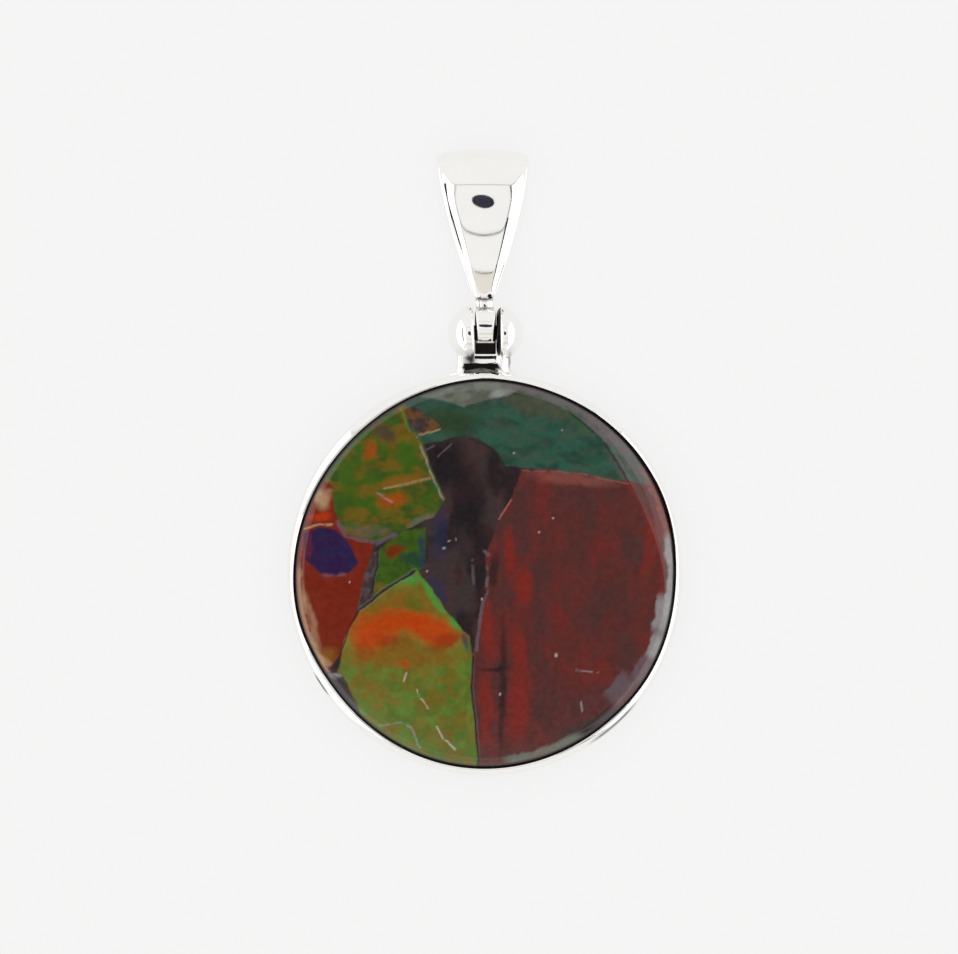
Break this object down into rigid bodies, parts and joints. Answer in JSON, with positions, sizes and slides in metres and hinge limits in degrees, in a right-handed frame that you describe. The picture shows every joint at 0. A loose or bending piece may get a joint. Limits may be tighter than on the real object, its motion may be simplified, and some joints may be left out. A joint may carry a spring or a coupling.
{
  "type": "ammolite pendant",
  "caption": "Round polished ammolite disc in a silver bezel, with a ball hinge at the top and a tapered bail that swings on it.",
  "frame": {"origin": "middle of the back plate's flat back, which the pendant lies on", "axes": "+X across the face, +Y from the stone to the bail, +Z out of the stone's face"},
  "size_m": [0.0206, 0.0327, 0.0043],
  "materials": {
    "ammolite": "polished iridescent fossil shell",
    "bezel_silver": "polished",
    "plate_silver": "fine satin",
    "hinge_silver": "polished",
    "pin_silver": "polished",
    "bail_silver": "polished"
  },
  "bodies": {
    "setting": {"ammolite": "ammolite", "bezel_wall": "bezel_silver", "back_plate": "plate_silver", "hinge_bracket": "hinge_silver", "hinge_pin": "pin_silver"},
    "bail": {"bail": "bail_silver"}
  },
  "joints": [
    {"name": "bail_swing", "type": "hinge", "parent": "setting", "child": "bail", "pos_m": [0, 0.01256, 0.00212], "axis": [1, 0, 0], "range_deg": [-95, 110]}
  ]
}
